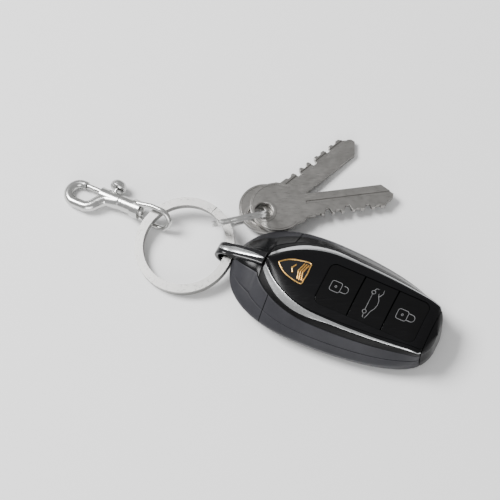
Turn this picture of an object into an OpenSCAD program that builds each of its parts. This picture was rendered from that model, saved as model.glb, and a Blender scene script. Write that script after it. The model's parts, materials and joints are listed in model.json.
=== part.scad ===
// Key organiser: a bolt snap, a flat split ring, a small split ring with two
// house keys, and a remote fob. It lies as if dropped on a table, in
// millimetres, with +Z up and the origin under the middle of its box.

/* [Remote fob] */
// Length of the fob's body along its axis, without the strap loop
fob_l = 77.6; // [70:0.2:84]
// Half of the fob's greatest width
fob_hw = 20.2; // [18:0.1:22]
// Height of the widest line above the table
belt_z = 6.3; // [5:0.1:7]
// Height of the top plate at its crown
crown_z = 16.6; // [15.6:0.1:18]
// Wall thickness of the shells
wall = 1.6; // [1.2:0.1:2]
// Travel of a button
press = 0.5; // [0.3:0.1:0.6]

/* [Rings] */
// Outer radius of the large split ring
ring_r = 17.8; // [17:0.1:18.5]
// Width of its flat band
ring_band = 3; // [2.6:0.1:3]
// Outer radius of the small split ring
small_r = 10.4; // [10:0.1:10.5]
// Width of its band
small_band = 1.15; // [1:0.05:1.2]
// Thickness of its two coils together
small_t = 2.1; // [1.8:0.1:2.2]

/* [Keys] */
// Radius of a key's round head
head_r = 9.7; // [9:0.1:10.5]
// Distance from the hole to the tip
key_l = 47; // [44:0.5:52]
// Thickness of a key
key_t = 1.9; // [1.7:0.1:1.9]

/* [Bolt snap] */
// Radius of the barrel
barrel_r = 2.7; // [2.5:0.1:3]
// Radius of the sliding bolt
bolt_r = 1; // [0.9:0.05:1.05]
// Travel of the bolt
bolt_travel = 3.6; // [2:0.1:3.6]
// Radius of the hook's round bar
bar_r = 1.45; // [1.3:0.05:1.5]

/* [Hidden] */
$fn = 48;

eps = 0.01;
// Middle of the box on the table, before the whole is moved over the origin
middle = [0.263, -2.166];

// Fob: where its nose tip stands, and how far it is turned
fob_at = [-5.45, -5.73];
fob_turn = -25.5;
widest_x = 31;
seam_x = 18.3;
cap_x = 75;
leaf_x0 = 11;
leaf_x1 = 36;
leaf_hw = 13.3;
leaf_tail_hw = 10;
trim_w = 1.7;
seam_z = 9;
groove_z = 12.4;
stations = 30;
gap = 0.1;
// Loop: the hole for the large ring, seen from the side, and its strap
loop_at = [-2.2, 6.3];
loop_hole_r = 3.1;
strap_hw = 2.4;
// Buttons: where each panel begins and ends along the fob
button_x = [[33.8, 46.4], [46.8, 59.2], [59.6, 71.6]];
button_hw = 8.4;
button_sink = 0.35;
board_z = 7.2;
board_t = 1;
cell_r = 10;
cell_t = 3.2;
cell_x = 38;

// Large ring: its centre, how much it leans and which way the high side faces
ring_at = [-22.95, -0.82, 4.72];
ring_lean = 10.5;
ring_high = 45;
ring_t = 3;
// Small ring: its centre and the way its axis points
small_at = [-3.27, 7.36, 9.8];
small_axis = [63.6, 102.7];
// Keys: the middle of each hole, the way each blade points, the lean of both
keys_lean = 3.3;
keys_low = 25;
front_at = [4.87, 12.13, 4.75];
front_turn = 9.5;
front_hole_r = 3.25;
back_at = [2.45, 11.8, 2.65];
back_turn = 42.5;
back_hole_r = 3.3;
front_head = [5, 1.2];
back_head = [4.3, 0];

// Bolt snap: the middle of its swivel collar, its pitch and its turn
hook_at = [-41.1, 14.6, 4.12];
hook_turn = -28;
hook_pitch = 6;
bolt_y = 0.9;
eye_r = 4;
eye_wire = 0.95;
eye_turn = 67;
eye_x = 10.3;
collar_r = 3.3;
jaw_x = -20.9;
jaw_r = 3.9;
rivet_r = 1.25;
run = 0.06;

// ---- Fob: outline, section and loft ----

// Half width at the widest line, x along the fob from its nose
function half_w(x) = x < widest_x
  ? fob_hw * pow(max(0, 1 - pow((widest_x - x) / widest_x, 2.2)), 1 / 2.2)
  : fob_hw * pow(max(0, 1 - pow((x - widest_x) / (fob_l - widest_x), 2)), 1 / 3);

// Half width of the leaf between the outer edges of the trims
function leaf_w(x) = x < leaf_x0 ? 0
  : x < leaf_x1 ? leaf_hw * pow(1 - pow((leaf_x1 - x) / (leaf_x1 - leaf_x0), 2), 0.75)
  : leaf_hw - (leaf_hw - leaf_tail_hw) * pow((x - leaf_x1) / (cap_x - leaf_x1), 2);

// Half width of a line that lies a share s of the way from the belt to the leaf
function between(x, s) = half_w(x) + s * (min(leaf_w(x), half_w(x) - 0.4) - half_w(x));

// Height factor, which rounds the nose and the tail off
function rise(x) = x < leaf_x0
  ? 0.72 + 0.28 * sin(90 * x / leaf_x0)
  : 1 - 0.25 * pow(max(0, (x - 68) / (fob_l - 68)), 2.5);

// One half of the section at x, from the bottom's middle to the crown, inset by d
function half_section(x, d) = let (h = rise(x), w = half_w(x) - d, f = between(x, 0.27) - d,
    g = between(x, 0.7) - d, l = max(0.6, between(x, 1) - d), k = max(0.4, l - trim_w),
    dome = crown_z - 15.3)
  [[0.35 * w, d], [0.7 * w, d], [0.87 * w, d + 0.55], [0.94 * w, 2 + d / 2], [0.98 * w, 4],
   [w, belt_z * (1 + h) / 2],
   [f, seam_z * h], [g, groove_z * h - d / 2], [l, 14.3 * h - d], [k, 15.3 * h - d],
   [0.8 * k, (15.3 + 0.36 * dome) * h - d], [0.5 * k, (15.3 + 0.75 * dome) * h - d],
   [0.2 * k, (15.3 + 0.96 * dome) * h - d]];
seam_i = 6;
groove_i = 7;
leaf_i = 8;
plate_i = 9;
crown_i = 12;

// Points a to b of the half section, both sides, in one run over the middle
function run_over(x, d, a, b) = let (s = half_section(x, d))
  concat([for (i = [a:b]) [x, -s[i][0], s[i][1]]], [for (i = [b:-1:a]) [x, s[i][0], s[i][1]]]);

// The same points with every height set to z
function flat_at(pts, z) = [for (p = pts) [p[0], p[1], z]];
function shifted(pts, dy, dz) = [for (p = pts) [p[0], p[1] + dy, p[2] + dz]];

// Stations between x0 and x1, both included, from an even walk nose to tail
fob_xs = [for (i = [0:stations]) 0.35 + (fob_l - 0.5) * (1 - cos(180 * i / stations)) / 2];
function stops(x0, x1) = concat([x0], [for (x = fob_xs) if (x > x0 + 0.3 && x < x1 - 0.3) x], [x1]);

// A closed solid between an upper surface a and a lower one b, each a list of rows
// along +X, with every row's points from -Y to +Y
module between_sheets(a, b) {
  m = len(a);
  n = len(a[0]);
  function ai(i, j) = i * n + j;
  function bi(i, j) = m * n + i * n + j;
  faces = concat(
    [for (i = [0:m - 2], j = [0:n - 2]) each [[ai(i, j), ai(i + 1, j + 1), ai(i + 1, j)],
      [ai(i, j), ai(i, j + 1), ai(i + 1, j + 1)], [bi(i, j), bi(i + 1, j), bi(i + 1, j + 1)],
      [bi(i, j), bi(i + 1, j + 1), bi(i, j + 1)]]],
    [for (i = [0:m - 2]) each [[ai(i, 0), ai(i + 1, 0), bi(i + 1, 0)], [ai(i, 0), bi(i + 1, 0), bi(i, 0)],
      [ai(i, n - 1), bi(i + 1, n - 1), ai(i + 1, n - 1)], [ai(i, n - 1), bi(i, n - 1), bi(i + 1, n - 1)]]],
    [for (j = [0:n - 2]) each [[ai(0, j), bi(0, j + 1), ai(0, j + 1)], [ai(0, j), bi(0, j), bi(0, j + 1)],
      [ai(m - 1, j), ai(m - 1, j + 1), bi(m - 1, j + 1)], [ai(m - 1, j), bi(m - 1, j + 1), bi(m - 1, j)]]]);
  polyhedron(points = [for (row = concat(a, b)) each row], faces = faces);
}

// Solid under the plate's surface, lowered by sink, down to the height z0
module under_plate(x0, x1, sink, z0) {
  rows = [for (x = stops(x0, x1)) run_over(x, 0, plate_i, crown_i)];
  between_sheets([for (r = rows) shifted(r, 0, -sink)], [for (r = rows) flat_at(r, z0)]);
}

// Everything of the fob is drawn with its nose tip at the origin
module on_fob() {
  translate([fob_at[0] - middle[0], fob_at[1] - middle[1], 0])
    rotate([0, 0, fob_turn])
      children();
}

module lower_shell() {
  xs = stops(seam_x + gap / 2, cap_x);
  outer = [for (x = xs) lower_run(x, 0)];
  inner = [for (x = xs) lower_run(x, wall)];
  color("#232326")
    on_fob()
      difference() {
        between_sheets(inner, outer);
        screw_holes();
      }
}

// From the seam on one side, under the belly, to the seam on the other
function lower_run(x, d) = let (s = half_section(x, d), z = (seam_z - gap / 2) * rise(x))
  concat([[x, -s[seam_i][0], z]], [for (i = [seam_i - 1:-1:0]) [x, -s[i][0], s[i][1]]],
    [for (i = [0:seam_i - 1]) [x, s[i][0], s[i][1]]], [[x, s[seam_i][0], z]]);

// From the seam over the side wall and across the deck that carries the keypad
function deck_run(x, d) = let (s = half_section(x, 0), h = rise(x), f = s[seam_i][0] - d,
    g = s[groove_i][0] - d, k = s[groove_i][0] - 1 - d, t = 0.6 * d)
  [[x, -f, (seam_z + gap / 2) * h], [x, -g, groove_z * h - t], [x, -k, (groove_z - 0.6) * h - t],
   [x, -k / 2, (groove_z - 0.6) * h - t], [x, k / 2, (groove_z - 0.6) * h - t],
   [x, k, (groove_z - 0.6) * h - t], [x, g, groove_z * h - t], [x, f, (seam_z + gap / 2) * h]];

module upper_shell() {
  xs = stops(seam_x + gap / 2, cap_x);
  color("#2b2b2f")
    on_fob()
      difference() {
        between_sheets([for (x = xs) deck_run(x, 0)], [for (x = xs) deck_run(x, wall)]);
        for (b = button_x) {
          translate([(b[0] + b[1]) / 2, 0, 5])
            cylinder(h = 10, r = 2.6);
        }
      }
}

// What both halves of the nose leave free: the strap and the ring's swing
module nose_relief() {
  loop_root(gap);
  translate([loop_at[0], 0, loop_at[1]])
    rotate([90, 0, 0])
      cylinder(h = 30, r = loop_hole_r + 0.8, center = true);
}

module nose_lower() {
  rows = [for (x = stops(fob_xs[0], seam_x - gap / 2)) lower_run(x, 0)];
  color("#232326")
    on_fob()
      difference() {
        between_sheets([for (r = rows) lid(r)], rows);
        nose_relief();
      }
}

// A level row just over the two ends of the row r, with as many points
function lid(r) = let (n = len(r) - 1)
  [for (j = [0:n]) [r[0][0], r[0][1] * (1 - 2 * j / n), r[0][2] + 0.02]];

// The nose's upper side: a low crown up to the leaf's tip, and the deck from there
function nose_run(x) = let (r = deck_run(x, 0), h = rise(x), low = x < leaf_x0 + 1,
    z1 = (low ? 12.9 : groove_z - 0.6) * h, z2 = (low ? 13.4 : groove_z - 0.6) * h)
  [r[0], r[1], [x, r[2][1], z1], [x, r[3][1], z2], [x, r[4][1], z2], [x, r[5][1], z1], r[6], r[7]];

module nose_upper() {
  rows = [for (x = concat(stops(fob_xs[0], leaf_x0 + 0.9), stops(leaf_x0 + 1.05, seam_x - gap / 2)))
    nose_run(x)];
  color("#2b2b2f")
    on_fob()
      difference() {
        between_sheets(rows, [for (r = rows) flat_at(r, r[0][2] - 0.02)]);
        nose_relief();
      }
}

// A strip of the outer surface between section points a and b. Its lower edges lie
// in by da and db (measured along Y) and down by ta and tb.
module strip(side, x0, a, b, da, ta, db, tb) {
  rows = [for (x = stops(x0, cap_x)) let (s = half_section(x, 0))
    [[x, side * s[a][0], s[a][1]], [x, side * s[b][0], s[b][1]]]];
  under = [for (r = rows) [r[0] - [0, side * da, ta], r[1] - [0, side * db, tb]]];
  if (side < 0) between_sheets(rows, under);
  else between_sheets([for (r = rows) [r[1], r[0]]], [for (r = under) [r[1], r[0]]]);
}

// The black groove band between the casing and the trims
module bezel() {
  color("#0b0b0c")
    on_fob()
      for (side = [-1, 1])
        translate([0, 0, 0.03])
          strip(side, leaf_x0 + 1.2, groove_i, leaf_i, 0.5, 0.12, -0.06, 0.6);
}

module trim_near() {
  color("#b9bbbe")
    on_fob()
      translate([0, 0.04, 0])
        strip(-1, leaf_x0 + 1.4, leaf_i, plate_i, 0.06, 1.1, -0.1, 1.1);
}

module trim_far() {
  color("#b9bbbe")
    on_fob()
      translate([0, -0.04, 0])
        strip(1, leaf_x0 + 1.4, leaf_i, plate_i, 0.06, 1.1, -0.1, 1.1);
}

module top_plate() {
  rows = [for (x = stops(leaf_x0 + 1.6, cap_x)) run_over(x, 0.05, plate_i, crown_i)];
  color("#1c1c1f")
    on_fob()
      difference() {
        between_sheets(rows, [for (r = rows) shifted(r, 0, -1.3)]);
        for (b = button_x) {
          panel(b[0], b[1], button_hw, 0);
        }
        badge_column(gap);
      }
}

// A rounded column over one button, with the corner radius r
module panel(x0, x1, hw, z0) {
  r = 1.4;
  translate([0, 0, z0])
    linear_extrude(20)
      hull()
        for (x = [x0 + r, x1 - r], y = [-hw + r, hw - r])
          translate([x, y])
            circle(r, $fn = 24);
}

module button(i) {
  b = button_x[i];
  color("#101012")
    on_fob() {
      intersection() {
        under_plate(b[0] - 3, b[1] + 3, button_sink, 13.4);
        panel(b[0] + 0.15, b[1] - 0.15, button_hw - 0.15, 0);
      }
      translate([(b[0] + b[1]) / 2, 0, plunger_z()])
        cylinder(h = 13.5 - plunger_z(), r = 2);
    }
}

function switch_top() = board_z + board_t + 1.6;
function mat_top() = switch_top() + 0.9;
function plunger_z() = mat_top() + press + 0.05;

module button_unlock() { button(0); }
module button_boot() { button(1); }
module button_lock() { button(2); }

// Rubber mat over the switches
module keypad_mat() {
  color("#3a3a3d")
    on_fob()
      translate([32.5, -9, switch_top() + 0.05])
        cube([37, 18, 0.8]);
}

module circuit_board() {
  color("#1f5b3a")
    on_fob()
      translate([23, -11, board_z])
        cube([46.5, 22, board_t]);
}

module tact_switches() {
  color("#8d8f92")
    on_fob()
      for (b = button_x) {
        translate([(b[0] + b[1]) / 2 - 2.2, -2.2, board_z + board_t])
          cube([4.4, 4.4, 1.2]);
        translate([(b[0] + b[1]) / 2, 0, board_z + board_t + 1.2])
          cylinder(h = 0.4, r = 1.1);
      }
}

module coin_cell() {
  color("#c9cacc")
    on_fob()
      translate([cell_x, 0, board_z - 0.6 - cell_t])
        cylinder(h = cell_t, r = cell_r);
}

module battery_clips() {
  color("#c8b06a")
    on_fob() {
      translate([cell_x - 3, -1.5, board_z - 0.6])
        cube([6, 3, 0.6]);
      translate([cell_x + cell_r + 0.2, -2.5, 2.5])
        cube([0.5, 5, board_z - 2.5]);
      translate([cell_x - 3, -2, 2.5])
        cube([cell_r + 3.2, 4, 0.4]);
      translate([cell_x - 3, -2, 2.9])
        cube([6, 4, board_z - 0.6 - cell_t - 2.9]);
    }
}

module antenna_coil() {
  color("#4b3428")
    on_fob()
      translate([62, -6, board_z - 3.2])
        cube([5, 12, 3.2]);
}

function screw_places() = [[22.3, 0], [55, -12.6], [55, 12.6]];

module screw_holes() {
  for (p = screw_places())
    translate([p[0], p[1], -1])
      cylinder(h = 2, r = 1.9);
}

// Small recessed screws that hold the lower shell
module shell_screws() {
  color("#8f9194")
    on_fob()
      for (p = screw_places()) {
        translate([p[0], p[1], 0.3])
          cylinder(h = 0.65, r = 1.6);
      }
}

module tail_cap() {
  rows = [for (x = stops(cap_x + gap, fob_xs[stations])) let (s = half_section(x, 0))
    [for (i = [1:crown_i]) [x, s[i][0], s[i][1]]]];
  color("#5b5c60")
    on_fob()
      between_sheets([for (r = rows) [for (p = r) [p[0], -p[1], p[2]]]], rows);
}

function loop_outline() = [[11.7, 11.9], [11.7, 14.9], [11.2, 14.9], [8, 14.3], [4, 13.1], [0.5, 11.9],
  [-2.3, 10.7], [-4.4, 9.9], [-5.8, 8.8], [-6.6, 7.4], [-6.8, 5.9], [-6.3, 4.3], [-5.1, 2.9],
  [-3.4, 2.1], [-1.2, 1.9], [2, 1.9], [5, 2.4], [5, 6.3], [8, 9.5]];

// Strap that leaves the nose, curls round the large ring and returns below
module loop_root(d) {
  translate([0, strap_hw + d, 0])
    rotate([90, 0, 0])
      linear_extrude(2 * (strap_hw + d))
        polygon(loop_outline());
}

module strap_loop() {
  color("#0e0e10")
    on_fob()
      difference() {
        loop_root(0);
        translate([loop_at[0], 0, loop_at[1]])
          rotate([90, 0, 0])
            cylinder(h = 30, r = loop_hole_r, center = true);
        strap_inlay_block(0);
      }
}

function inlay_outline() = [[11.4, 15.4], [8, 14.75], [4, 13.55], [0.5, 12.35], [-2.3, 11.15],
  [-4.5, 10.3], [-5.9, 9.2], [-5.6, 8.5], [-4.2, 9.5], [-2.1, 10.3], [0.6, 11.5], [4.1, 12.7],
  [8.1, 13.9], [11.4, 14.5]];

module strap_inlay_block(d) {
  translate([0, 1.2 + d, 0])
    rotate([90, 0, 0])
      linear_extrude(2 * (1.2 + d))
        polygon(inlay_outline());
}

module strap_inlay() {
  color("#b9bbbe")
    on_fob()
      strap_inlay_block(-0.02);
}

// Plain shield: a rounded triangle with its point towards the nose
module badge_column(d) {
  translate([16.6, 0, 0])
    linear_extrude(30)
      offset(delta = d)
        polygon([[0, 0], [2.2, 1.9], [5.4, 3.6], [10.4, 4.6], [11.2, 2.2], [11.4, 0], [11.2, -2.2],
          [10.4, -4.6], [5.4, -3.6], [2.2, -1.9]]);
}

module badge() {
  color("#d8a24c")
    on_fob()
      intersection() {
        under_plate(14, 31, 0, 14);
        badge_column(0);
      }
}

// ---- Rings ----

// A flat split ring about Z: two coils with a fine gap between them, joined over
// the angle step, where the upper coil ends on one side and the lower on the other
module split_ring(r, w, t, step) {
  slit = 0.08;
  difference() {
    rotate_extrude()
      translate([r - w, -t / 2])
        square([w, t]);
    rotate([0, 0, step / 2])
      rotate_extrude(angle = 360 - step)
        translate([r - w - 1, -slit / 2])
          square([w + 2, slit]);
    for (s = [-1, 1])
      rotate([0, 0, s * (step / 2 + 0.3)])
        translate([r - w - 1, -slit, s > 0 ? 0 : -t])
          cube([w + 2, 2 * slit, t]);
  }
}

module main_ring() {
  color("#d6d6d4")
    translate([ring_at[0] - middle[0], ring_at[1] - middle[1], ring_at[2]])
      rotate([0, -ring_lean, ring_high])
        split_ring(ring_r, ring_band, ring_t, 8);
}

module small_ring() {
  color("#c4c5c6")
    translate([small_at[0] - middle[0], small_at[1] - middle[1], small_at[2]])
      rotate([0, small_axis[0], small_axis[1]])
        rotate([0, 0, 120])
          split_ring(small_r, small_band, small_t, 12);
}

// ---- Keys ----

// Cuts along the bitted edge: distance from the hole and depth
cuts = [[19, 1.6], [22.6, 3.1], [26.2, 2.2], [29.8, 3.4], [33.4, 1.8], [37, 2.8], [40.6, 2.0]];

// A house key about its hole, blade along +X, underside at z = 0
module key(hole_r, head) {
  difference() {
    union() {
      translate([head[0], head[1], 0])
        cylinder(h = key_t, r = head_r, $fn = 96);
      linear_extrude(key_t)
        polygon([[8.3, 8.2], [13.2, 6.6], [15.6, 5.2], [18.5, 4.9], [43.2, 4.9], [key_l, 0.9],
          [key_l - 0.4, -0.6], [43.6, -2.9], [43, -3.7], [15, -4.2], [14, -5.4], [8.3, -7.2]]);
    }
    cylinder(h = 3 * key_t, r = hole_r, center = true);
    for (c = cuts)
      translate([c[0], -4.6, -eps])
        linear_extrude(key_t + 2 * eps)
          polygon([[-1.9, -0.4], [-0.6, c[1] - 0.5], [0.6, c[1] - 0.5], [1.9, -0.4]]);
    translate([15.4, 0.9, key_t - 0.45])
      cube([key_l, 1.1, 1]);
    translate([15.4, -2.6, -eps])
      cube([key_l, 1.2, 0.45]);
  }
}

module placed_key(at, turn, hole_r, head, flip) {
  translate([at[0] - middle[0], at[1] - middle[1], at[2]])
    rotate([0, keys_lean, keys_low])
      rotate([0, 0, turn - keys_low])
        translate([0, 0, flip ? key_t : 0])
          rotate([flip ? 180 : 0, 0, 0])
            key(hole_r, head);
}

module front_key() {
  color("#c9c9c7")
    placed_key(front_at, front_turn, front_hole_r, front_head, false);
}

module back_key() {
  color("#bfbfbd")
    placed_key(back_at, back_turn, back_hole_r, back_head, true);
}

// ---- Bolt snap: drawn along X, its swivel collar at the origin ----

module on_hook() {
  translate([hook_at[0] - middle[0], hook_at[1] - middle[1], hook_at[2]])
    rotate([0, 0, hook_turn])
      rotate([0, -hook_pitch, 0])
        children();
}

module rod(p, q, r) {
  v = q - p;
  translate(p)
    rotate([0, acos(v[2] / norm(v)), atan2(v[1], v[0])])
      cylinder(h = norm(v), r = r);
}

module along_x(x0, x1, r) {
  translate([x0, 0, 0])
    rotate([0, 90, 0])
      cylinder(h = x1 - x0, r = r);
}

// A round bar of radius r along flat stations [x, y, heading], with n sides
module bent_bar(line, r, n) {
  m = len(line);
  ring = [for (i = [0:n - 1]) 360 * (i + 0.5) / n];
  points = [for (s = line, t = ring)
    [s[0] - r * cos(t) * sin(s[2]), s[1] + r * cos(t) * cos(s[2]), r * sin(t)]];
  sides = [for (k = [0:m - 2], i = [0:n - 1]) let (a = k * n + i, b = k * n + (i + 1) % n)
    each [[a, b + n, b], [a, a + n, b + n]]];
  polyhedron(points = points, faces = concat([[for (i = [0:n - 1]) i]], sides,
    [[for (i = [n - 1:-1:0]) (m - 1) * n + i]]));
}

// The hook's bar: from the bolt's seat round the jaw, back below it and up into the barrel
function hook_line() = let (jaw_y = bolt_y - jaw_r, low_y = jaw_y - jaw_r, neck_x = jaw_x + 3.3,
    neck_r = 4.4, end_x = neck_x + neck_r * cos(40), end_y = low_y + neck_r * (1 - sin(40)))
  concat([[jaw_x + 1.1, bolt_y, 180]],
    [for (t = [90:15:270]) [jaw_x + jaw_r * cos(t), jaw_y + jaw_r * sin(t), t + 90]],
    [for (t = [-90:12.5:-40]) [neck_x + neck_r * cos(t), low_y + neck_r * (1 + sin(t)), t + 450]],
    [[end_x + neck_l * cos(50), end_y + neck_l * sin(50), 410]]);
neck_l = 5.9;

module hook_body() {
  color("#c6c7c8")
    on_hook()
      difference() {
        union() {
          along_x(-13.6, -0.7, barrel_r);
          bent_bar(hook_line(), bar_r, 14);
        }
        // Bore for the bolt and its spring
        translate([-25, bolt_y, 0])
          along_x(5.4, 22.9, bolt_r + run);
        // Slot for the knob's stem
        translate([-10.4, bolt_y, -0.85])
          cube([1.7 + bolt_travel, 6, 1.7]);
        // Blind hole for the swivel's rivet
        along_x(-1.8, 0, rivet_r);
      }
}

module hook_bolt() {
  color("#bcbdbe")
    on_hook()
      translate([0, bolt_y, 0])
        along_x(jaw_x + 1.3, -8.3, bolt_r);
}

module thumb_knob() {
  color("#b3b4b5")
    on_hook()
      translate([-9.4, bolt_y + bolt_r - 0.1, 0])
        rotate([-90, 0, 0])
          rotate_extrude()
            polygon([[0, 0], [0.7, 0], [0.7, 2.2], [2.5, 2.2], [2.9, 2.6], [2.9, 4], [2.7, 4.7],
              [2.1, 5.3], [1.1, 5.7], [0, 5.8]]);
}

// Closed outer form of the spring behind the bolt
module bolt_spring() {
  color("#9c9da0")
    on_hook()
      translate([0, bolt_y, 0])
        difference() {
          along_x(-8.25, -2.15, bolt_r - 0.05);
          along_x(-9, -1, bolt_r - 0.4);
        }
}

module swivel_eye() {
  bar_hl = 3.2;
  bend_x = 6.5;
  color("#cfd0d1")
    on_hook()
      rotate([eye_turn, 0, 0])
        difference() {
          union() {
            along_x(-0.6, 2.6, collar_r);
            translate([0, -bar_hl, -1.1])
              cube([2.4, 2 * bar_hl, 2.2]);
            for (s = [-1, 1]) {
              rod([1.1, s * (bar_hl - 0.5), 0], [bend_x, s * eye_r, 0], eye_wire);
              translate([bend_x, s * eye_r, 0])
                sphere(eye_wire);
              rod([bend_x, s * eye_r, 0], [eye_x, s * eye_r, 0], eye_wire);
            }
            translate([eye_x, 0, 0])
              rotate([0, 0, -90])
                rotate_extrude(angle = 180)
                  translate([eye_r, 0])
                    circle(eye_wire);
          }
          along_x(-1, 3, rivet_r + run);
        }
}

// Headed rivet fast in the barrel's end, on which the eye turns
module swivel_rivet() {
  color("#d9dadb")
    on_hook() {
      along_x(-1.8, 2.7, rivet_r);
      translate([2.7, 0, 0])
        rotate([0, 90, 0])
          rotate_extrude()
            polygon([[0, 0], [1.85, 0], [1.85, 0.4], [1.5, 1], [0.8, 1.3], [0, 1.35]]);
    }
}

lower_shell();
upper_shell();
nose_lower();
nose_upper();
bezel();
trim_near();
trim_far();
top_plate();
tail_cap();
strap_loop();
strap_inlay();
badge();
button_unlock();
button_boot();
button_lock();
keypad_mat();
circuit_board();
tact_switches();
coin_cell();
battery_clips();
antenna_coil();
shell_screws();
main_ring();
small_ring();
front_key();
back_key();
hook_body();
hook_bolt();
thumb_knob();
bolt_spring();
swivel_eye();
swivel_rivet();
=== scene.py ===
"""Key organiser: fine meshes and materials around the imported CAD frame. Lengths in the
functions below are millimetres; a piece's mesh is turned into metres when it is placed."""

import json
import math

import bmesh
import bpy
from mathutils import Matrix, Vector


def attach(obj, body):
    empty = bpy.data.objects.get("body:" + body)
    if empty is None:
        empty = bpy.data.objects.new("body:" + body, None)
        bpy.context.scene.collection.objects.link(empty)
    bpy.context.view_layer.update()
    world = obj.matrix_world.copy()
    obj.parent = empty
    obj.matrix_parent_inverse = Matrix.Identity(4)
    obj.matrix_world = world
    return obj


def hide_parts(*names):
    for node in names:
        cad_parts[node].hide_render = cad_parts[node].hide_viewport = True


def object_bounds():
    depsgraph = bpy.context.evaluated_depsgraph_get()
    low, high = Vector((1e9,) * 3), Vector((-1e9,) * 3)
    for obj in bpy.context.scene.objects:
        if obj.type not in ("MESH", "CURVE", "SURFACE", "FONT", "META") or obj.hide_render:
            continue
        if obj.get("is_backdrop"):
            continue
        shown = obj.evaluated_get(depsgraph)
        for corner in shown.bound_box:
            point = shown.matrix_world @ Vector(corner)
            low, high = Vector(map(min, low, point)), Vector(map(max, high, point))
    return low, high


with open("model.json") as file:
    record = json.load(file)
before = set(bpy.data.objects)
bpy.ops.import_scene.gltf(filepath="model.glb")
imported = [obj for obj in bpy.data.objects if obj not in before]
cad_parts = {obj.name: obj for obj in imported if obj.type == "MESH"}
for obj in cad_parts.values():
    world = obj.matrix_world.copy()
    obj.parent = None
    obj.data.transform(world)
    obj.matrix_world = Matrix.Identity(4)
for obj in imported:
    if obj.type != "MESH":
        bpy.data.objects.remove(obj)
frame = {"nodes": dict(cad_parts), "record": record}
cad_low, cad_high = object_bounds()

MM = 0.001
# The CAD's own placing of the fob and the bolt snap, in the planning frame less its middle
MIDDLE = Vector((0.263, -2.166, 0))
FOB_PLACE = (
    Matrix.Translation(Vector((-5.45, -5.73, 0)) - MIDDLE)
    @ Matrix.Rotation(math.radians(-25.5), 4, "Z")
)
HOOK_PLACE = (
    Matrix.Translation(Vector((-41.1, 14.6, 4.12)) - MIDDLE)
    @ Matrix.Rotation(math.radians(-28), 4, "Z")
    @ Matrix.Rotation(math.radians(-6), 4, "Y")
)

# ---- Materials ----


def shader(name):
    """A new material with its node tree, its Principled shader and its object coordinates."""
    mat = bpy.data.materials.new(name)
    mat.use_nodes = True
    tree = mat.node_tree
    bsdf = tree.nodes["Principled BSDF"]
    coords = tree.nodes.new("ShaderNodeTexCoord").outputs["Object"]
    return mat, tree, bsdf, coords


def stretched(tree, coords, scale):
    """Object coordinates scaled by a different factor along each axis."""
    node = tree.nodes.new("ShaderNodeMapping")
    node.inputs["Scale"].default_value = scale
    tree.links.new(coords, node.inputs["Vector"])
    return node.outputs["Vector"]


def noise(tree, coords, scale, detail=4.0, rough=0.6):
    node = tree.nodes.new("ShaderNodeTexNoise")
    node.inputs["Scale"].default_value = scale
    node.inputs["Detail"].default_value = detail
    node.inputs["Roughness"].default_value = rough
    tree.links.new(coords, node.inputs["Vector"])
    return node.outputs["Fac"]


def spread(tree, value, low, high, from_low=0.3, from_high=0.7):
    """value, stretched from between from_low and from_high to between low and high."""
    node = tree.nodes.new("ShaderNodeMapRange")
    node.inputs["From Min"].default_value = from_low
    node.inputs["From Max"].default_value = from_high
    node.inputs["To Min"].default_value = low
    node.inputs["To Max"].default_value = high
    tree.links.new(value, node.inputs["Value"])
    return node.outputs["Result"]


def tint(tree, value, dark, light):
    node = tree.nodes.new("ShaderNodeValToRGB")
    node.color_ramp.elements[0].position = 0.3
    node.color_ramp.elements[1].position = 0.7
    node.color_ramp.elements[0].color = (*dark, 1)
    node.color_ramp.elements[1].color = (*light, 1)
    tree.links.new(value, node.inputs["Fac"])
    return node.outputs["Color"]


def bump(tree, bsdf, height, strength, distance):
    node = tree.nodes.new("ShaderNodeBump")
    node.inputs["Strength"].default_value = strength
    node.inputs["Distance"].default_value = distance
    tree.links.new(height, node.inputs["Height"])
    tree.links.new(node.outputs["Normal"], bsdf.inputs["Normal"])


def shade(colour, factor):
    return tuple(c * factor for c in colour)


def lacquer(name, colour, rough, coat=0.6, peel=0.25):
    """Moulded, lacquered plastic: fine orange peel, faint handling marks and uneven gloss."""
    mat, tree, bsdf, coords = shader(name)
    marks = noise(tree, stretched(tree, coords, (3, 40, 40)), 60, 6)
    clouds = noise(tree, coords, 140, 3)
    peeling = noise(tree, coords, 1500, 2)
    colours = tint(tree, clouds, shade(colour, 0.88), shade(colour, 1.12))
    tree.links.new(colours, bsdf.inputs["Base Color"])
    tree.links.new(spread(tree, marks, rough * 0.8, rough * 1.3), bsdf.inputs["Roughness"])
    bump(tree, bsdf, peeling, peel, 0.00002)
    bsdf.inputs["Coat Weight"].default_value = coat
    bsdf.inputs["Coat Roughness"].default_value = 0.08
    bsdf.inputs["Specular IOR Level"].default_value = 0.25
    bsdf.inputs["IOR"].default_value = 1.35
    return mat


def metal(name, colour, rough, grain=(1, 1, 1), grain_scale=700, grain_depth=0.3, tarnish=0.85):
    """Metal with a grain along one way, small dents, and tarnish in broad patches."""
    mat, tree, bsdf, coords = shader(name)
    lines = noise(tree, stretched(tree, coords, grain), grain_scale, 5, 0.7)
    patches = noise(tree, coords, 230, 4)
    tree.links.new(tint(tree, patches, shade(colour, tarnish), colour), bsdf.inputs["Base Color"])
    tree.links.new(spread(tree, lines, rough * 0.7, rough * 1.4), bsdf.inputs["Roughness"])
    bump(tree, bsdf, lines, grain_depth, 0.00003)
    bsdf.inputs["Metallic"].default_value = 1
    return mat


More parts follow.
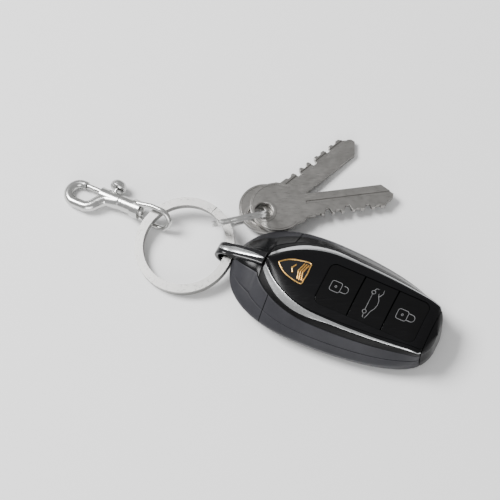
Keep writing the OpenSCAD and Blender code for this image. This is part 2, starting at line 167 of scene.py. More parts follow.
def matt(name, colour, rough=0.6, grain_scale=2500):
    """Matt rubber, ceramic or moulded plastic with a fine grain."""
    mat, tree, bsdf, coords = shader(name)
    grain = noise(tree, coords, grain_scale, 3)
    colours = tint(tree, grain, shade(colour, 0.8), shade(colour, 1.15))
    tree.links.new(colours, bsdf.inputs["Base Color"])
    tree.links.new(spread(tree, grain, rough * 0.85, min(1, rough * 1.2)), bsdf.inputs["Roughness"])
    bump(tree, bsdf, grain, 0.3, 0.00003)
    return mat


MATERIALS = {
    "casing_black": lacquer("casing_black", (0.004, 0.004, 0.0045), 0.22, 0),
    # Grey lacquer of the belly; on the near upper flank it also stands in for painted reflection.
    "casing_grey": lacquer("casing_grey", (0.028, 0.028, 0.032), 0.34, 0),
    "deep_black": lacquer("deep_black", (0.002, 0.002, 0.0022), 0.35, 0),
    "trim_metal": metal("trim_metal", (0.6, 0.61, 0.62), 0.22, (1, 4, 4), 900, 0.06, 0.94),
    "buttons": lacquer("buttons", (0.002, 0.002, 0.0022), 0.22, 0.1, 0.4),
    "badge_gold": metal("badge_gold", (0.83, 0.5, 0.16), 0.28, (1, 1, 1), 1800, 0.4, 0.8),
    "strap_black": lacquer("strap_black", (0.006, 0.006, 0.007), 0.16, 0.7, 0.15),
    "rubber": matt("rubber", (0.03, 0.03, 0.03), 0.75),
    "board": matt("board", (0.03, 0.14, 0.07), 0.45),
    "cell_steel": metal("cell_steel", (0.7, 0.7, 0.7), 0.3, (1, 20, 1), 200),
    "contact_brass": metal("contact_brass", (0.75, 0.55, 0.25), 0.3),
    "ferrite": matt("ferrite", (0.06, 0.05, 0.05), 0.8),
    "screw_steel": metal("screw_steel", (0.45, 0.45, 0.46), 0.4),
    "ring_steel": metal("ring_steel", (0.36, 0.355, 0.345), 0.32, (1, 1, 1), 900, 0.03, 0.96),
    "small_ring_steel": metal("small_ring_steel", (0.62, 0.62, 0.61), 0.2, (1, 1, 1), 900, 0.2),
    "key_nickel": metal("key_nickel", (0.36, 0.35, 0.335), 0.34, (1, 9, 1), 420, 0.55, 0.8),
    "hook_silver": metal("hook_silver", (0.6, 0.6, 0.59), 0.22, (1, 1, 1), 700, 0.25, 0.9),
    "spring_steel": metal("spring_steel", (0.5, 0.5, 0.5), 0.3),
}
SYMBOL_GREY = matt("symbol_grey", (0.13, 0.13, 0.135), 0.4)

# ---- Mesh helpers ----


def set_material(obj, slot):
    obj.data.materials.clear()
    obj.data.materials.append(MATERIALS[slot])


def soften(obj, width, angle=32, segments=2):
    """Rounds the edges of a piece by width (mm) and shades it smooth."""
    obj.data.shade_smooth()
    bevel = obj.modifiers.new("edges", "BEVEL")
    bevel.width = width * MM
    bevel.segments = segments
    bevel.limit_method = "ANGLE"
    bevel.angle_limit = math.radians(angle)
    bevel.use_clamp_overlap = True
    normals = obj.modifiers.new("normals", "WEIGHTED_NORMAL")
    normals.keep_sharp = False


def place(name, mesh, matrix, body, slot, nodes=(), round_by=0.0):
    """A piece made in millimetres: set by matrix into the frame, in metres, and put on its body."""
    mesh.transform(Matrix.Scale(MM, 4) @ matrix)
    obj = bpy.data.objects.new(name, mesh)
    bpy.context.scene.collection.objects.link(obj)
    set_material(obj, slot)
    if round_by:
        soften(obj, round_by)
    else:
        mesh.shade_smooth()
    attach(obj, body)
    if nodes:
        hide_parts(*nodes)
    return obj


def grid_shell(outer, inner):
    """A closed mesh between two grids of points that have the same rows and columns."""
    rows, cols = len(outer), len(outer[0])
    count = rows * cols

    def at(layer, i, j):
        return layer * count + i * cols + j

    points = [p for row in outer for p in row] + [p for row in inner for p in row]
    faces = []
    for i in range(rows - 1):
        for j in range(cols - 1):
            faces.append([at(0, i, j), at(0, i, j + 1), at(0, i + 1, j + 1), at(0, i + 1, j)])
            faces.append([at(1, i, j), at(1, i + 1, j), at(1, i + 1, j + 1), at(1, i, j + 1)])
        faces.append([at(0, i, 0), at(0, i + 1, 0), at(1, i + 1, 0), at(1, i, 0)])
        end = cols - 1
        faces.append([at(0, i, end), at(1, i, end), at(1, i + 1, end), at(0, i + 1, end)])
    last = rows - 1
    for j in range(cols - 1):
        faces.append([at(0, 0, j), at(1, 0, j), at(1, 0, j + 1), at(0, 0, j + 1)])
        faces.append([at(0, last, j), at(0, last, j + 1), at(1, last, j + 1), at(1, last, j)])
    mesh = bpy.data.meshes.new("shell")
    mesh.from_pydata(points, [], faces)
    bm = bmesh.new()
    bm.from_mesh(mesh)
    bmesh.ops.remove_doubles(bm, verts=bm.verts, dist=1e-5)
    bmesh.ops.recalc_face_normals(bm, faces=bm.faces)
    bm.to_mesh(mesh)
    bm.free()
    return mesh


def ring_fill(outline, height, depth, rings=(1, 0.985, 0.94, 0.8, 0.55, 0.25)):
    """A closed plate over an outline of (x, y) points round its middle. height(x, y) is its
    upper side; depth is how thick it is."""
    cx = sum(p[0] for p in outline) / len(outline)
    cy = sum(p[1] for p in outline) / len(outline)
    n = len(outline)
    bm = bmesh.new()
    layers = []
    for share in rings:
        flat = [(cx + share * (p[0] - cx), cy + share * (p[1] - cy)) for p in outline]
        layers.append([bm.verts.new((x, y, height(x, y))) for x, y in flat])
    top = bm.verts.new((cx, cy, height(cx, cy)))
    under = [bm.verts.new((v.co.x, v.co.y, v.co.z - depth)) for v in layers[0]]
    for i in range(n):
        k = (i + 1) % n
        for a, b in zip(layers, layers[1:]):
            bm.faces.new((a[i], a[k], b[k], b[i]))
        bm.faces.new((layers[-1][i], layers[-1][k], top))
        bm.faces.new((layers[0][k], layers[0][i], under[i], under[k]))
    bm.faces.new(under)
    bmesh.ops.recalc_face_normals(bm, faces=bm.faces)
    mesh = bpy.data.meshes.new("plate")
    bm.to_mesh(mesh)
    bm.free()
    return mesh


def tube(points, radius, closed=False, sides=12):
    """A round bar along points. radius is one number, or one for each point."""
    pts = [Vector(p) for p in points]
    n = len(pts)
    radii = radius if isinstance(radius, (list, tuple)) else [radius] * n
    bm = bmesh.new()
    rings = []
    normal = None
    for i, p in enumerate(pts):
        before = pts[i - 1] if (i or closed) else p
        after = pts[(i + 1) % n] if (i < n - 1 or closed) else p
        along = (after - before).normalized()
        if normal is None:
            normal = along.cross(Vector((0, 0, 1)))
            if normal.length < 1e-3:
                normal = along.cross(Vector((0, 1, 0)))
        normal = (normal - along * normal.dot(along)).normalized()
        other = along.cross(normal)
        turns = [2 * math.pi * k / sides for k in range(sides)]
        rim = [p + radii[i] * (math.cos(t) * normal + math.sin(t) * other) for t in turns]
        rings.append([bm.verts.new(q) for q in rim])
    pairs = list(zip(rings, rings[1:])) + ([(rings[-1], rings[0])] if closed else [])
    for a, b in pairs:
        for k in range(sides):
            m = (k + 1) % sides
            bm.faces.new((a[k], a[m], b[m], b[k]))
    if not closed:
        bm.faces.new(rings[0])
        bm.faces.new(rings[-1])
    bmesh.ops.recalc_face_normals(bm, faces=bm.faces)
    mesh = bpy.data.meshes.new("tube")
    bm.to_mesh(mesh)
    bm.free()
    return mesh


def cut_sheet(outlines, half_thickness, edge, matrix):
    """A flat plate from closed outlines (the first outside, the rest holes), with round edges."""
    curve = bpy.data.curves.new("sheet", "CURVE")
    curve.dimensions = "2D"
    curve.fill_mode = "BOTH"
    curve.extrude = half_thickness - edge
    curve.bevel_depth = edge
    curve.bevel_resolution = 3
    curve.offset = -edge
    for outline in outlines:
        spline = curve.splines.new("POLY")
        spline.points.add(len(outline) - 1)
        for point, (x, y) in zip(spline.points, outline):
            point.co = (x, y, 0, 1)
        spline.use_cyclic_u = True
    obj = bpy.data.objects.new("sheet", curve)
    bpy.context.scene.collection.objects.link(obj)
    mesh = bpy.data.meshes.new_from_object(obj.evaluated_get(bpy.context.evaluated_depsgraph_get()))
    bpy.data.objects.remove(obj)
    bm = bmesh.new()
    bm.from_mesh(mesh)
    bmesh.ops.remove_doubles(bm, verts=bm.verts, dist=1e-4)
    bmesh.ops.recalc_face_normals(bm, faces=bm.faces)
    bm.to_mesh(mesh)
    bm.free()
    mesh.transform(matrix)
    return mesh


def smooth_loop(points, steps=6):
    """A closed outline through the points, with steps between each two (Catmull-Rom)."""
    n = len(points)
    made = []
    for i in range(n):
        quad = [Vector(points[(i + k) % n]) for k in (-1, 0, 1, 2)]
        made += [tuple(spline_at(quad, s / steps)) for s in range(steps)]
    return made


def spline_at(quad, t):
    """The Catmull-Rom point a share t of the way from the second to the third of four."""
    a, b, c, d = quad
    square, cube = 2 * a - 5 * b + 4 * c - d, 3 * b - a - 3 * c + d
    return 0.5 * (2 * b + (c - a) * t + square * t**2 + cube * t**3)


def circle(cx, cy, r, n=48):
    turns = [2 * math.pi * i / n for i in range(n)]
    return [(cx + r * math.cos(a), cy + r * math.sin(a)) for a in turns]


def steps(a, b, n):
    return [a + (b - a) * i / n for i in range(n + 1)]


# ---- The fob's form, as in the CAD: x from the nose, y across, z up ----

FOB_LENGTH = 77.6
HALF_WIDTH = 20.2
WIDEST_X = 31
CAP_X = 75
SEAM_X = 18.3
LEAF_X0, LEAF_X1 = 11, 36
LEAF_HALF, LEAF_TAIL_HALF = 13.3, 10
TRIM_WIDTH = 1.7
BELT, SEAM, GROOVE, LEAF, PLATE, CROWN = 6.3, 9, 12.4, 14.3, 15.3, 16.6
LINE = 0.11  # half of the dark line left between two pieces
RISE_X = 68  # from here the top falls towards the tail


def half_width(x):
    if x < WIDEST_X:
        return HALF_WIDTH * max(0, 1 - ((WIDEST_X - x) / WIDEST_X) ** 2.2) ** (1 / 2.2)
    return HALF_WIDTH * max(0, 1 - ((x - WIDEST_X) / (FOB_LENGTH - WIDEST_X)) ** 2) ** (1 / 3)


def leaf_width(x):
    if x < LEAF_X0:
        return 0
    if x < LEAF_X1:
        return LEAF_HALF * (1 - ((LEAF_X1 - x) / (LEAF_X1 - LEAF_X0)) ** 2) ** 0.75
    return LEAF_HALF - (LEAF_HALF - LEAF_TAIL_HALF) * ((x - LEAF_X1) / (CAP_X - LEAF_X1)) ** 2


def between(x, share):
    return half_width(x) + share * (min(leaf_width(x), half_width(x) - 0.4) - half_width(x))


def rise(x):
    if x < LEAF_X0:
        return 0.72 + 0.28 * math.sin(math.pi / 2 * x / LEAF_X0)
    return 1 - 0.25 * max(0, (x - RISE_X) / (FOB_LENGTH - RISE_X)) ** 2.5


def lift(x):
    """How far the belly rises off the table towards the nose and the tail."""
    return 2.4 * max(0, 1 - x / 8) ** 2 + 2 * max(0, (x - 71) / (FOB_LENGTH - 71)) ** 2


def plate_edge(x):
    return max(0.4, max(0.6, between(x, 1)) - TRIM_WIDTH)


def section(x):
    """Points of half the section, from the belly's middle (0) to the trim's inner edge (10)."""
    w, h, up = half_width(x), rise(x), lift(x)
    belt = BELT * (1 + h) / 2
    low = lambda y, z: (y, up + z * (belt - up) / belt)
    return [
        low(0, 0),
        low(0.35 * w, 0),
        low(0.7 * w, 0),
        low(0.87 * w, 0.55),
        low(0.94 * w, 2),
        low(0.98 * w, 4),
        (w, belt),
        (between(x, 0.27), SEAM * h),
        (between(x, 0.7), GROOVE * h),
        (max(0.6, between(x, 1)), LEAF * h),
        (plate_edge(x), PLATE * h),
    ]


SEAM_T, GROOVE_T, LEAF_T, PLATE_T = 7, 8, 9, 10


def on_section(x, t):
    """The point at t (0 to 10) round the section at x; a negative t is the near side."""
    pts = [Vector(p) for p in section(x)]
    side = -1 if t < 0 else 1
    t = abs(t)
    i = min(int(t), len(pts) - 2)
    first = pts[i - 1] if i else Vector((-pts[1].x, pts[1].y))
    last = pts[i + 2] if i + 2 < len(pts) else pts[i + 1] + (pts[i + 1] - pts[i])
    y, z = spline_at((first, pts[i], pts[i + 1], last), t - i)
    return Vector((x, side * y, z))


def plate_at(x, y):
    """Height of the top plate over (x, y)."""
    k = plate_edge(x)
    return (PLATE + (CROWN - PLATE) * (1 - (y / k) ** 2)) * rise(x)


def nose_crown_at(x, v):
    """The nose's upper side, v from -1 at one groove line to 1 at the other."""
    g, h = between(x, 0.7), rise(x)
    return Vector((x, v * g, (GROOVE + 1.05 * (1 - abs(v) ** 2.4)) * h))


def inward(p, depth):
    """p moved by depth towards the middle of the fob."""
    centre = Vector((min(max(p.x, 5), 72), 0, 7))
    away = p - centre
    return centre + away * max(0.6, 1 - depth / away.length)


def fob_xs(x0, x1, n=110):
    """Stations from x0 to x1, closer together at the fob's two ends."""
    walk = [FOB_LENGTH * (1 - math.cos(math.pi * i / n)) / 2 for i in range(n + 1)]
    return [x0] + [x for x in walk if x0 + 0.12 < x < x1 - 0.12] + [x1]


def casing(name, x0, x1, t0, t1, columns, slot, nodes=(), depth=0.9,
           surface=on_section, round_by=0.12):
    """A thick strip of the fob's surface between two stations and two section values."""
    outer = [[surface(x, t) for t in steps(t0, t1, columns)] for x in fob_xs(x0, x1)]
    inner = [[inward(p, depth) for p in row] for row in outer]
    return place(name, grid_shell(outer, inner), FOB_PLACE, "fob", slot, nodes, round_by)


def trim_share(x):
    """How much of the band beside the plate is bright trim, less and less to the tail."""
    return 0.9 - 0.6 * min(1, max(0, (x - 22) / 48))


def trim_foot(x):
    """Where the trim's lower edge lies against the band's: lower behind the nose."""
    return 0.04 - 0.5 * max(0, 1 - ((x - 25) / 18) ** 2) ** 1.5


def trim_surface(side, low, high):
    """The band beside the plate, with 0 to 1 across it from share low to share high."""

    def share(edge, x):
        return edge(x) if callable(edge) else edge

    def surface(x, v):
        foot = share(low, x)
        return on_section(x, side * (LEAF_T + foot + v * (share(high, x) - foot)))

    return surface


NOSE_X = 0.12
SEAM_GAP = 0.03  # gaps either side of a line round the fob, as a share of a section step
nose_end = SEAM_X - LINE
leaf_start = LEAF_X0 + 1.1

belly = (SEAM_GAP - SEAM_T, SEAM_T - SEAM_GAP)
casing("lower_casing", SEAM_X + LINE, CAP_X, *belly, 84, "casing_grey", ["lower_shell"])
casing("lower_nose", NOSE_X, nose_end, *belly, 84, "casing_grey", ["nose_lower"])
for side, word in ((-1, "near"), (1, "far")):
    # Painted reflection: the near upper flank takes the grey lacquer to stand in for the bright
    # surroundings it mirrors, while the far flank keeps the plain black.
    painted_reflection_tone = "casing_grey" if side < 0 else "casing_black"
    span = (side * (SEAM_T + SEAM_GAP), side * (GROOVE_T - 0.02))
    casing(f"upper_casing_{word}", SEAM_X + LINE, CAP_X, *span, 12, painted_reflection_tone, ["upper_shell"])
    casing(f"upper_nose_{word}", NOSE_X, nose_end, *span, 12, painted_reflection_tone, ["nose_upper"])
    face = trim_surface(side, -0.97, lambda x: trim_foot(x) - 0.06)
    casing(f"shoulder_band_{word}", leaf_start + 0.3, CAP_X, 0, 1, 8, "deep_black", ["bezel"],
           0.6, face)
    face = trim_surface(side, trim_foot, lambda x: trim_share(x) - SEAM_GAP)
    casing(f"trim_strip_{word}", leaf_start + 0.5, CAP_X, 0, 1, 8, "trim_metal", [f"trim_{word}"],
           0.7, face, 0.1)
    face = trim_surface(side, lambda x: trim_share(x) + SEAM_GAP, 0.95)
    casing(f"plate_border_{word}", leaf_start + 0.9, CAP_X, 0, 1, 6, "casing_black", (),
           0.7, face, 0.05)
casing("nose_crown", NOSE_X, leaf_start + 0.2, -0.985, 0.985, 40, "casing_black", ["nose_upper"],
       0.9, nose_crown_at)


def tail_cap():
    """The end piece: the whole section, from the belly over the crown, closed at the tail."""
    xs = steps(CAP_X + LINE * 2, FOB_LENGTH - 0.1, 16)
    rows = []
    for x in xs:
        half = [on_section(x, t) for t in steps(0, PLATE_T, 60)]
        dome = [Vector((x, y, plate_at(x, y))) for y in steps(plate_edge(x), 0, 8)[1:]]
        rows.append(half + dome)
    outer = [[Vector((p.x, -p.y, p.z)) for p in row] for row in rows]
    shell = grid_shell(outer, rows)
    place("tail_end", shell, FOB_PLACE, "fob", "casing_black", ["tail_cap"], 0.25)


tail_cap()


def casing_core():
    """Black body under the casing strips, seen only as the lines between them."""
    outer, inner = [], []
    for x in fob_xs(1.2, CAP_X + 0.5, 60):
        deck = 12.3 * rise(x)
        wall = [inward(on_section(x, t), 0.5) for t in steps(0, GROOVE_T - 0.1, 40)]
        wall = wall + [Vector((x, max(0.1, wall[-1].y - 1), deck - 0.3)), Vector((x, 0, deck - 0.3))]
        outer.append([Vector((p.x, -p.y, p.z)) for p in wall])
        inner.append(wall)
    place("casing_core", grid_shell(outer, inner), FOB_PLACE, "fob", "deep_black")


casing_core()

# ---- Top plate, buttons and their symbols ----

PANEL_X = (33.8, 71.6)
PANEL_HALF = 8.4
PANEL_R = 2.6
BUTTONS = {"button_unlock": (33.8, 46.5), "button_boot": (46.7, 59.3), "button_lock": (59.5, 71.6)}
BUTTON_INNER_R = 0.15
BUTTON_SINK = 0.3
BUTTON_GAP = 0.12


def rounded_box(x0, x1, half, r0, r1, per_corner=8):
    """Outline of a box with corner radius r0 at its x0 end and r1 at its x1 end."""
    corners = ((x1, half, r1, 0), (x0, half, r0, 90), (x0, -half, r0, 180), (x1, -half, r1, 270))
    outline = []
    for x, y, r, start in corners:
        cx = x - r if x == x1 else x + r
        cy = y - r if y > 0 else y + r
        for k in range(per_corner + 1):
            a = math.radians(start + 90 * k / per_corner)
            outline.append((cx + r * math.cos(a), cy + r * math.sin(a)))
    dense = []
    for a, b in zip(outline, outline[1:] + outline[:1]):
        n = max(1, int(math.dist(a, b) / 0.8))
        dense += [(a[0] + (b[0] - a[0]) * k / n, a[1] + (b[1] - a[1]) * k / n) for k in range(n)]
    return dense


def top_plate():
    """Domed plate with one opening for the three buttons."""
    outer = []
    for x in fob_xs(leaf_start + 0.8, CAP_X, 150):
        k = plate_edge(x) - LINE
        outer.append([Vector((x, y, plate_at(x, y))) for y in steps(-k, k, 44)])
    inner = [[p - Vector((0, 0, 1)) for p in row] for row in outer]
    plate = place("top_face", grid_shell(outer, inner), FOB_PLACE, "fob", "casing_black", ["top_plate"])
    hole = rounded_box(*PANEL_X, PANEL_HALF, PANEL_R, PANEL_R)
    cutter_mesh = ring_fill(hole, lambda x, y: 25, 20)
    cutter_mesh.transform(Matrix.Scale(MM, 4) @ FOB_PLACE)
    cutter = bpy.data.objects.new("cutter", cutter_mesh)
    bpy.context.scene.collection.objects.link(cutter)
    cut = plate.modifiers.new("opening", "BOOLEAN")
    cut.operation = "DIFFERENCE"
    cut.solver = "EXACT"
    cut.object = cutter
    done = bpy.data.meshes.new_from_object(plate.evaluated_get(bpy.context.evaluated_depsgraph_get()))
    plate.modifiers.clear()
    plate.data = done
    bpy.data.objects.remove(cutter)
    set_material(plate, "casing_black")
    soften(plate, 0.1)


top_plate()


def button_height(x, y):
    return plate_at(x, y) - BUTTON_SINK


for name, (x0, x1) in BUTTONS.items():
    r0 = PANEL_R - BUTTON_GAP if name == "button_unlock" else BUTTON_INNER_R
    r1 = PANEL_R - BUTTON_GAP if name == "button_lock" else BUTTON_INNER_R
    shape = rounded_box(x0 + BUTTON_GAP, x1 - BUTTON_GAP, PANEL_HALF - BUTTON_GAP, r0, r1)
    mesh = ring_fill(shape, button_height, 1.1)
    place(f"{name}_cap", mesh, FOB_PLACE, name, "buttons", [name], 0.12)


def symbol(name, body, lines, width=0.13):
    """Raised lines on a button, given as lists of (x, y) points."""
    for i, line in enumerate(lines):
        closed = line[0] == line[-1]
        pts = line[:-1] if closed else line
        path = [(x, y, button_height(x, y) + 0.03) for x, y in pts]
        obj = place(f"{name}_{i}", tube(path, width, closed, 8), FOB_PLACE, body, "buttons")
        obj.data.materials.clear()
        obj.data.materials.append(SYMBOL_GREY)


def rounded_line(x0, x1, y0, y1, r):
    """A closed line round a box, with its first point repeated at the end."""
    mid = (y0 + y1) / 2
    pts = [(x, y + mid) for x, y in rounded_box(x0, x1, (y1 - y0) / 2, r, r, 5)]
    return pts + pts[:1]


def arc(cx, cy, rx, ry, a0, a1, n=14):
    turns = [math.radians(a) for a in steps(a0, a1, n)]
    return [(cx + rx * math.cos(a), cy + ry * math.sin(a)) for a in turns]


def padlock(x0, opened):
    """A padlock that stands up towards the tail: its body, its shackle and its keyhole."""
    shackle = arc(x0 + 5.3, 0, 1.2, 1.35, 90, -90)
    legs_end = x0 + (4.6 if opened else 3.85)
    lines = [rounded_line(x0, x0 + 3.8, -2, 2, 0.8), arc(x0 + 1.9, 0, 0.35, 0.35, 0, 360, 10)]
    return lines + [[(legs_end, 1.35)] + shackle + [(x0 + 3.85, -1.35)]]


def car(x0):
    """A car from the side with its boot lid up, its front to the near side."""
    wheels = [arc(x0 + 0.7, y, 0.7, 0.7, 0, 360, 12) for y in (-4.3, 3.7)]
    sill = [(x0 + 0.6, -3.5), (x0 + 0.6, 2.9)]
    front = [(x0 + 0.7, -5.1), (x0 + 0.9, -6.4), (x0 + 1.7, -6.6), (x0 + 2.2, -5.2), (x0 + 2.6, -3.6)]
    roof = [(x0 + 3.5, -2.1), (x0 + 3.9, -0.4), (x0 + 3.7, 1.3), (x0 + 2.9, 2.9), (x0 + 2.6, 3.9)]
    rear = [(x0 + 0.7, 4.5), (x0 + 1.1, 5.4), (x0 + 2.2, 5.6)]
    lid = [(x0 + 3.1, 2.7), (x0 + 4.0, 4.4), (x0 + 3.8, 5.9)]
    return wheels + [sill, front + roof, rear, lid]


symbol("unlock_mark", "button_unlock", padlock(37.0, True))
symbol("boot_mark", "button_boot", car(50.9))
symbol("lock_mark", "button_lock", padlock(62.1, False))

# ---- Badge: a plain shield with a gold rim and four plain gold bars ----

def smooth_chain(points, n=6):
    pts = [Vector(p) for p in points]
    ends = [2 * pts[0] - pts[1]] + pts + [2 * pts[-1] - pts[-2]]
    chain = [tuple(spline_at(ends[i:i + 4], s / n)) for i in range(len(pts) - 1) for s in range(n)]
    return chain + [tuple(pts[-1])]


SHIELD = [(16.7, 0), (19.3, 2.3), (22.4, 3.7), (27.5, 4.5), (28.1, 2.4), (28.3, 0)]


def shield(share):
    """The shield's outline, drawn in by share about its middle."""
    half = smooth_chain(SHIELD)
    outline = half + [(x, -y) for x, y in reversed(half[1:-1])]
    return [(23.4 + share * (x - 23.4), share * y) for x, y in outline]


def badge():
    field = ring_fill(shield(0.97), lambda x, y: plate_at(x, y) + 0.05, 0.6)
    place("badge_field", field, FOB_PLACE, "fob", "strap_black")
    rim = [(x, y, plate_at(x, y) + 0.06) for x, y in shield(0.95)]
    place("badge_rim", tube(rim, 0.27, True, 10), FOB_PLACE, "fob", "badge_gold", ["badge"])
    for i, (x, half) in enumerate(((22.2, 1.7), (24.7, 3.3), (25.5, 3.4), (26.3, 3.3))):
        bar = [(x + 0.9 * abs(y) / half, y, plate_at(x, y) + 0.06) for y in steps(-half, half, 16)]
        place(f"badge_bar_{i}", tube(bar, 0.3, False, 10), FOB_PLACE, "fob", "badge_gold")


badge()

# ---- Strap ----

STRAP_HALF = 2.4
LOOP_AT, LOOP_R = (-2.2, 6.3), 3.1
STRAP = [(11.7, 11.9), (11.7, 14.9), (11.2, 14.9), (8, 14.3), (4, 13.1), (0.5, 11.9), (-2.3, 10.7),
         (-4.4, 9.9), (-5.8, 8.8), (-6.6, 7.4), (-6.8, 5.9), (-6.3, 4.3), (-5.1, 2.9), (-3.4, 2.1),
         (-1.2, 1.9), (2, 1.9), (5, 2.4), (5, 6.3), (8, 9.5)]
INLAY = [(14, 15.3), (11.4, 14.95), (8, 14.35), (4, 13.15), (0.5, 11.95), (-2.3, 10.75), (-4.4, 9.95),
         (-5.8, 8.85), (-6.5, 7.6)]
UPRIGHT = Matrix.Rotation(math.radians(90), 4, "X")  # a flat outline's y becomes z

loop_hole = circle(*LOOP_AT, LOOP_R)[::-1]
strap_mesh = cut_sheet([smooth_loop(STRAP), loop_hole], STRAP_HALF, 0.45, UPRIGHT)
place("strap", strap_mesh, FOB_PLACE, "fob", "strap_black", ["strap_loop"])


def leaf_inlay():
    """Satin strip along the strap's upper side, tapering to a point at both ends."""
    line = [Vector(p) for p in INLAY]
    outer, inner = [], []
    count = 8 * (len(line) - 3)
    for n in range(count + 1):
        i = min(n // 8, len(line) - 4)
        p = spline_at(line[i:i + 4], (n - 8 * i) / 8)
        half = 0.12 + 0.95 * math.sin(math.pi * n / count) ** 0.7
        row = [Vector((p.x, y, p.y + 0.12 * (1 - (y / half) ** 2))) for y in steps(-half, half, 8)]
        outer.append(row)
        inner.append([q - Vector((0, 0, 0.4)) for q in row])
    place("strap_strip", grid_shell(outer, inner), FOB_PLACE, "fob", "trim_metal", ["strap_inlay"])


leaf_inlay()

# ---- Bolt clip ----

BOLT_Y, JAW_X, JAW_R, BAR_R = 0.9, -20.9, 3.9, 1.45
BARREL_R, NECK_LENGTH = 2.7, 5.2


def hook_bar():
    """Cast bar from the bolt's seat round the jaw, thickening up the neck into the barrel."""
    jaw_y = BOLT_Y - JAW_R
    low_y = jaw_y - JAW_R
    neck_x, neck_r = JAW_X + 3.3, 4.4
    path = [(JAW_X + 1.1, BOLT_Y)]
    path += arc(JAW_X, jaw_y, JAW_R, JAW_R, 90, 270, 40)
    path += arc(neck_x, low_y + neck_r, neck_r, neck_r, -90, -40, 12)
    end = path[-1]
    turn = math.radians(50)
    knee = (end[0] + NECK_LENGTH * math.cos(turn), end[1] + NECK_LENGTH * math.sin(turn))
    ends = [Vector(p) for p in (path[-3], end, knee, (knee[0] + 6, 0))]
    path += [tuple(spline_at(ends, t)) for t in steps(0, 1, 10)[1:]]
    knee_y = path[-1][1]
    path += [(knee[0] + 5 * t, knee_y * (1 - t)) for t in steps(0, 1, 8)[1:]]
    radii = []
    for n in range(len(path)):
        share = n / (len(path) - 1)
        jaw = 0.35 * min(1, share / 0.5)
        neck = (BARREL_R - BAR_R - 0.36) * max(0, (share - 0.5) / 0.5) ** 1.6
        radii.append(BAR_R + 0.03 + jaw + neck)
    mesh = tube([(x, y, 0) for x, y in path], radii, False, 32)
    place("hook_bar", mesh, HOOK_PLACE, "hook", "hook_silver", (), 0.25)


hook_bar()


def knurled_band():
    """Ridged band round the thumb knob's rim."""
    base = Matrix.Translation((-9.4, BOLT_Y + 1 - 0.1, 0)) @ Matrix.Rotation(math.radians(-90), 4, "X")
    count = 120
    rows = []
    for z in steps(2.7, 3.95, 6):
        row = []
        for i in range(count + 1):
            a = 2 * math.pi * i / count
            r = 2.93 + (0.05 if i % 3 else -0.03)
            row.append(Vector((r * math.cos(a), r * math.sin(a), z)))
        rows.append(row)
    inner = [[Vector((p.x * 0.93, p.y * 0.93, p.z)) for p in row] for row in rows]
    place("knob_band", grid_shell(rows, inner), HOOK_PLACE @ base, "hook_bolt", "hook_silver")


knurled_band()

# ---- Keys: raised rim and boss on each head ----

KEYS_LOW, KEYS_LEAN = 25, 3.3  # the way both keys slope down, and by how much, in degrees
KEYS_SLOPE = (
    Matrix.Rotation(math.radians(KEYS_LOW), 4, "Z") @ Matrix.Rotation(math.radians(KEYS_LEAN), 4, "Y")
)
KEYS = {
    "front_key": ((4.87, 12.13, 4.75), 9.5, (5, 1.2), 3.25, False),
    "back_key": ((2.45, 11.8, 2.65), 42.5, (4.3, 0), 3.3, True),
}
KEY_T, HEAD_R = 1.9, 9.7


def key_details(name, at, turn, head, hole_r, flipped):
    """Boss round the hole and a raised rim inside the head's edge, on the upper face."""
    matrix = (
        Matrix.Translation(Vector(at) - MIDDLE)
        @ KEYS_SLOPE
        @ Matrix.Rotation(math.radians(turn - KEYS_LOW), 4, "Z")
    )
    side = -1 if flipped else 1
    hx, hy = head[0], side * head[1]
    boss = [circle(0, 0, hole_r + 1.2, 64), circle(0, 0, hole_r + 0.12, 64)[::-1]]
    lift_up = Matrix.Translation((0, 0, KEY_T + 0.02))
    place(f"{name}_boss", cut_sheet(boss, 0.16, 0.06, lift_up), matrix, name, "key_nickel")
    shoulder = math.degrees(math.acos(0.62))
    rim_r = HEAD_R - 0.75
    rim = [(x, y, KEY_T) for x, y in arc(hx, hy, rim_r, rim_r, shoulder, 360 - shoulder, 90)]
    place(f"{name}_rim", tube(rim, 0.15, False, 8), matrix, name, "key_nickel")


for name, (at, turn, head, hole_r, flipped) in KEYS.items():
    key_details(name, at, turn, head, hole_r, flipped)

# ---- CAD nodes that stay ----

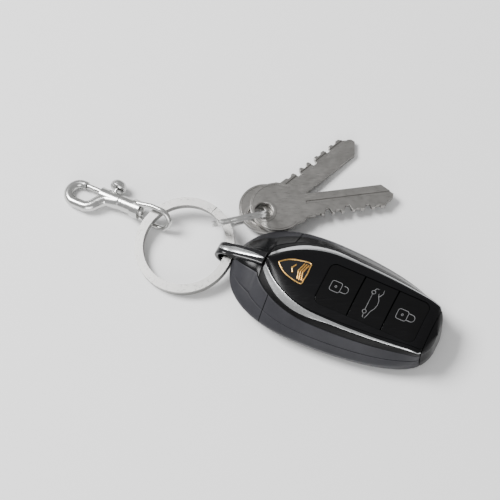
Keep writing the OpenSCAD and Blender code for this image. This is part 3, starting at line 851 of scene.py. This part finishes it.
EDGE = {
    "main_ring": 0.28, "small_ring": 0.16, "front_key": 0.14, "back_key": 0.14, "hook_body": 0.2,
    "swivel_eye": 0.12, "swivel_rivet": 0.1, "thumb_knob": 0.12, "hook_bolt": 0.15,
}
for part in frame["record"]["subparts"]:
    node = frame["nodes"][part["node"]]
    set_material(node, part["material_slot"])
    if node.hide_render:
        continue
    if "custom_normal" in node.data.attributes:
        node.data.attributes.remove(node.data.attributes["custom_normal"])
    weld = node.modifiers.new("weld", "WELD")
    weld.merge_threshold = 2e-6
    soften(node, EDGE.get(part["node"], 0.08))

# ---- Floor, light and camera ----


def stage_floor():
    bpy.ops.mesh.primitive_plane_add(size=6, location=(0, 0, 0))
    floor = bpy.context.object
    floor.name = "floor"
    mat, _, bsdf, _ = shader("pale_paper")
    bsdf.inputs["Base Color"].default_value = (0.93, 0.93, 0.93, 1)
    bsdf.inputs["Roughness"].default_value = 0.9
    floor.data.materials.append(mat)
    floor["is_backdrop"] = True


def area_light(name, location, size, power):
    data = bpy.data.lights.new(name, "AREA")
    data.size = size
    data.energy = power
    lamp = bpy.data.objects.new(name, data)
    lamp.location = location
    lamp.rotation_euler = (-Vector(location)).to_track_quat("-Z", "Y").to_euler()
    bpy.context.scene.collection.objects.link(lamp)


def camera():
    """Long lens, 63 degrees above the table, with 177 mm across the picture at the object."""
    lens, sensor, width = 200, 36, 0.177
    data = bpy.data.cameras.new("camera")
    data.lens = lens
    data.sensor_width = sensor
    target = -MIDDLE * MM
    up = math.radians(63)
    back = Vector((0, -math.cos(up), math.sin(up)))
    cam = bpy.data.objects.new("camera", data)
    cam.location = target + back * (width * lens / sensor)
    cam.rotation_euler = (-back).to_track_quat("-Z", "Y").to_euler()
    data.clip_end = 50
    bpy.context.scene.collection.objects.link(cam)
    bpy.context.scene.camera = cam


stage_floor()
camera()
area_light("softbox_left", (-0.75, 0.3, 1.0), 0.55, 30)
area_light("softbox_near", (-0.2, -1.0, 0.4), 0.6, 6)
world = bpy.data.worlds.new("studio")
world.use_nodes = True
world.node_tree.nodes["Background"].inputs["Color"].default_value = (1, 1, 1, 1)
world.node_tree.nodes["Background"].inputs["Strength"].default_value = 0.5
bpy.context.scene.world = world

low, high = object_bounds()
{"cad": [list(cad_low), list(cad_high)], "visual": [list(low), list(high)]}
